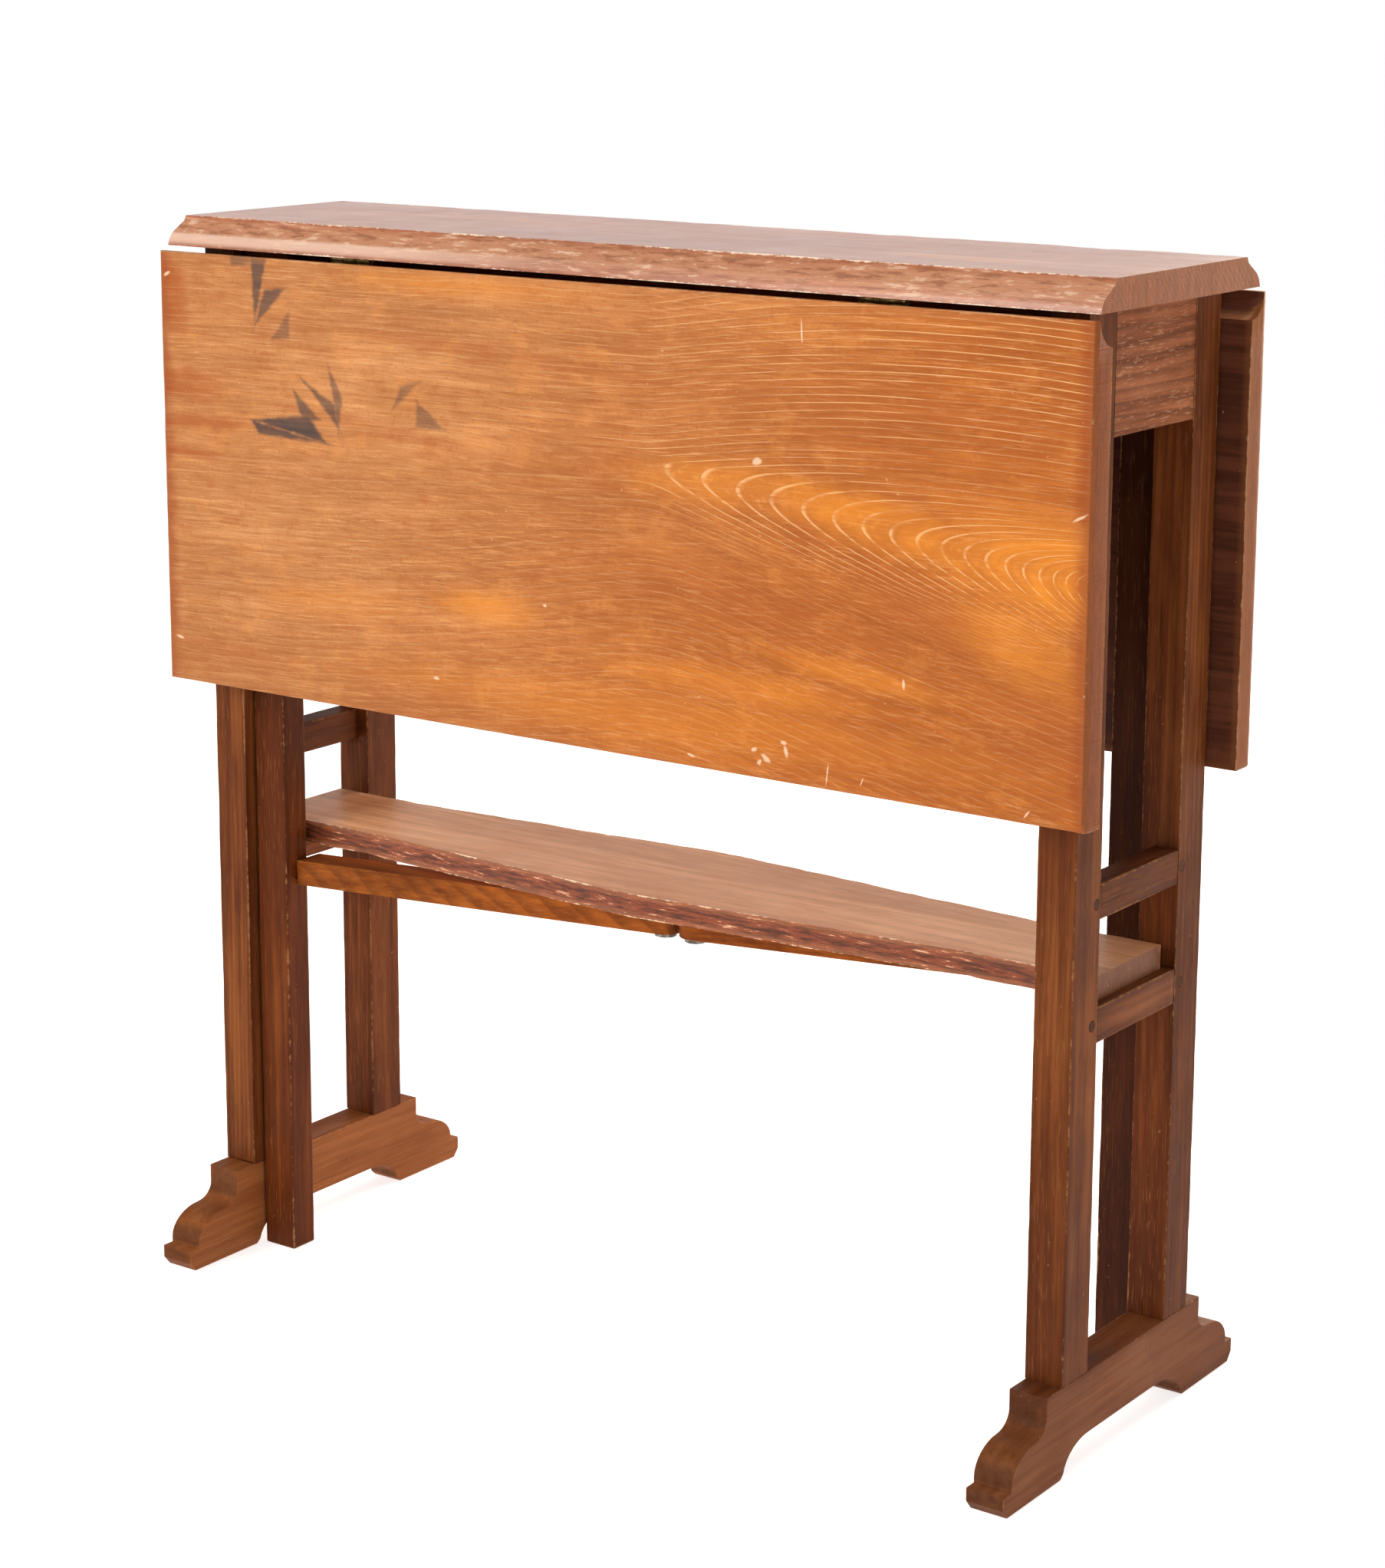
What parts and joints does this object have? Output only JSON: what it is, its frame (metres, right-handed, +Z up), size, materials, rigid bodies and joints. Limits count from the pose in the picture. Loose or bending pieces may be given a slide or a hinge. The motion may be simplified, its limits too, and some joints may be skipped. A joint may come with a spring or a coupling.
{
  "type": "folding table",
  "caption": "Narrow drop-leaf table: fixed top on two trestle ends with a low shelf, hanging leaves on rule joints and swinging gate legs that hold the raised leaves.",
  "frame": {"origin": "on the floor under the middle of the table", "axes": "+X along the table's length, +Y across it towards the back leaf, +Z up"},
  "size_m": [0.6992, 0.286, 0.71],
  "materials": {
    "top_wood": "worn satin varnish on a stained open-grained hardwood",
    "leaf_wood": "worn satin varnish, orange-brown, with old stains and nicks",
    "frame_wood": "satin varnish, dark brown stain",
    "peg_wood": "satin varnish over end grain",
    "shelf_wood": "worn satin varnish, chipped along its edges",
    "gate_leg_wood": "satin varnish, brown stain",
    "gate_arm_wood": "satin varnish, orange-brown stain",
    "hinge_brass": "dull aged brass plate",
    "screw_brass": "dull aged brass",
    "pin_steel": "dull steel"
  },
  "bodies": {
    "table": {"fixed_top": "top_wood", "foot_left": "frame_wood", "leg_left_front": "frame_wood", "leg_left_back": "frame_wood", "top_rail_left": "frame_wood", "mid_rail_left": "frame_wood", "shelf_rail_left": "frame_wood", "peg_mid_left_front": "peg_wood", "peg_mid_left_back": "peg_wood", "peg_shelf_left_front": "peg_wood", "peg_shelf_left_back": "peg_wood", "foot_right": "frame_wood", "leg_right_front": "frame_wood", "leg_right_back": "frame_wood", "top_rail_right": "frame_wood", "mid_rail_right": "frame_wood", "shelf_rail_right": "frame_wood", "peg_mid_right_front": "peg_wood", "peg_mid_right_back": "peg_wood", "peg_shelf_right_front": "peg_wood", "peg_shelf_right_back": "peg_wood", "shelf": "shelf_wood", "top_bearer": "frame_wood", "gate_front_lower_pin": "pin_steel", "gate_front_upper_pin": "pin_steel", "hinge_front_left_top_flap": "hinge_brass", "hinge_front_left_top_screw": "screw_brass", "hinge_front_left_pin": "pin_steel", "hinge_front_right_top_flap": "hinge_brass", "hinge_front_right_top_screw": "screw_brass", "hinge_front_right_pin": "pin_steel", "gate_back_lower_pin": "pin_steel", "gate_back_upper_pin": "pin_steel", "hinge_back_left_top_flap": "hinge_brass", "hinge_back_left_top_screw": "screw_brass", "hinge_back_left_pin": "pin_steel", "hinge_back_right_top_flap": "hinge_brass", "hinge_back_right_top_screw": "screw_brass", "hinge_back_right_pin": "pin_steel"},
    "leaf_front": {"leaf_front": "leaf_wood", "hinge_front_left_leaf_flap": "hinge_brass", "hinge_front_left_leaf_screw_1": "screw_brass", "hinge_front_left_leaf_screw_2": "screw_brass", "hinge_front_right_leaf_flap": "hinge_brass", "hinge_front_right_leaf_screw_1": "screw_brass", "hinge_front_right_leaf_screw_2": "screw_brass"},
    "leaf_back": {"leaf_back": "leaf_wood", "hinge_back_left_leaf_flap": "hinge_brass", "hinge_back_left_leaf_screw_1": "screw_brass", "hinge_back_left_leaf_screw_2": "screw_brass", "hinge_back_right_leaf_flap": "hinge_brass", "hinge_back_right_leaf_screw_1": "screw_brass", "hinge_back_right_leaf_screw_2": "screw_brass"},
    "gate_front": {"gate_front_leg": "gate_leg_wood", "gate_front_lower_arm": "gate_arm_wood", "gate_front_upper_arm": "gate_arm_wood"},
    "gate_back": {"gate_back_leg": "gate_leg_wood", "gate_back_lower_arm": "gate_arm_wood", "gate_back_upper_arm": "gate_arm_wood"}
  },
  "joints": [
    {"name": "leaf_front_hinge", "type": "hinge", "parent": "table", "child": "leaf_front", "pos_m": [0, -0.082, 0.689], "axis": [-1, 0, 0], "range_deg": [0, 90]},
    {"name": "leaf_back_hinge", "type": "hinge", "parent": "table", "child": "leaf_back", "pos_m": [0, 0.082, 0.689], "axis": [1, 0, 0], "range_deg": [0, 90]},
    {"name": "gate_front_pivot", "type": "hinge", "parent": "table", "child": "gate_front", "pos_m": [-0.012, 0, 0], "axis": [0, 0, 1], "range_deg": [0, 2.5]},
    {"name": "gate_back_pivot", "type": "hinge", "parent": "table", "child": "gate_back", "pos_m": [0.012, 0, 0], "axis": [0, 0, 1], "range_deg": [-0.9, 0.5]}
  ]
}
